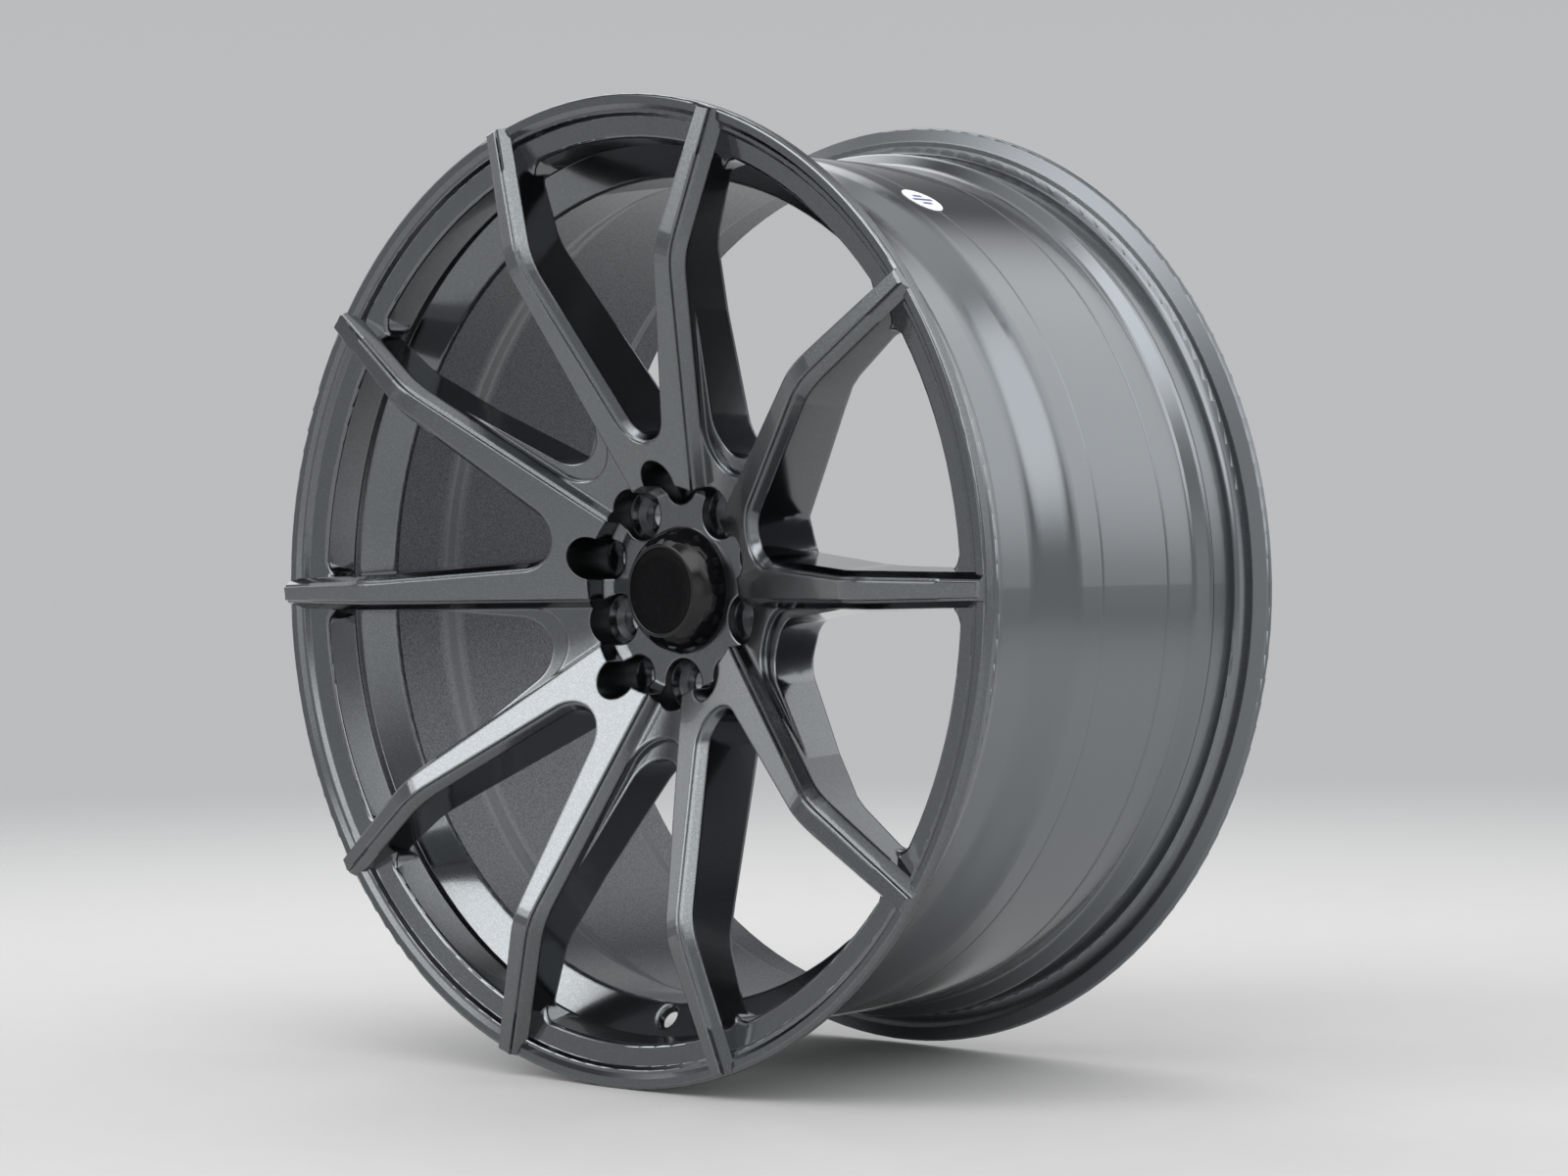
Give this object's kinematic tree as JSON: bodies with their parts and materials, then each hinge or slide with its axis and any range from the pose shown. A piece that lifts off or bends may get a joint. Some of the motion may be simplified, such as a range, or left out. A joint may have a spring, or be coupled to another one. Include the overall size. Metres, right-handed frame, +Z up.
{
  "type": "alloy wheel",
  "caption": "Cast alloy car wheel with slim paired spokes bent near the rim, a stepped lip, a wide barrel, lug pockets and a snap-in centre cap.",
  "frame": {"origin": "centre of the mounting face, where the wheel sits on its hub", "axes": "+Y along the axle towards the car, so the street side faces -Y; +Z up, with the valve hole at the bottom"},
  "size_m": [0.5176, 0.2457, 0.5176],
  "materials": {
    "gunmetal_paint": "gloss metallic gunmetal",
    "black_plastic": "gloss black",
    "badge_plastic": "gloss black",
    "spring_wire": "drawn wire",
    "white_paper": "matt paper"
  },
  "bodies": {
    "root": {"wheel_casting": "gunmetal_paint", "centre_cap": "black_plastic", "cap_badge": "badge_plastic", "cap_spring_ring": "spring_wire", "inspection_sticker": "white_paper"}
  },
  "joints": []
}
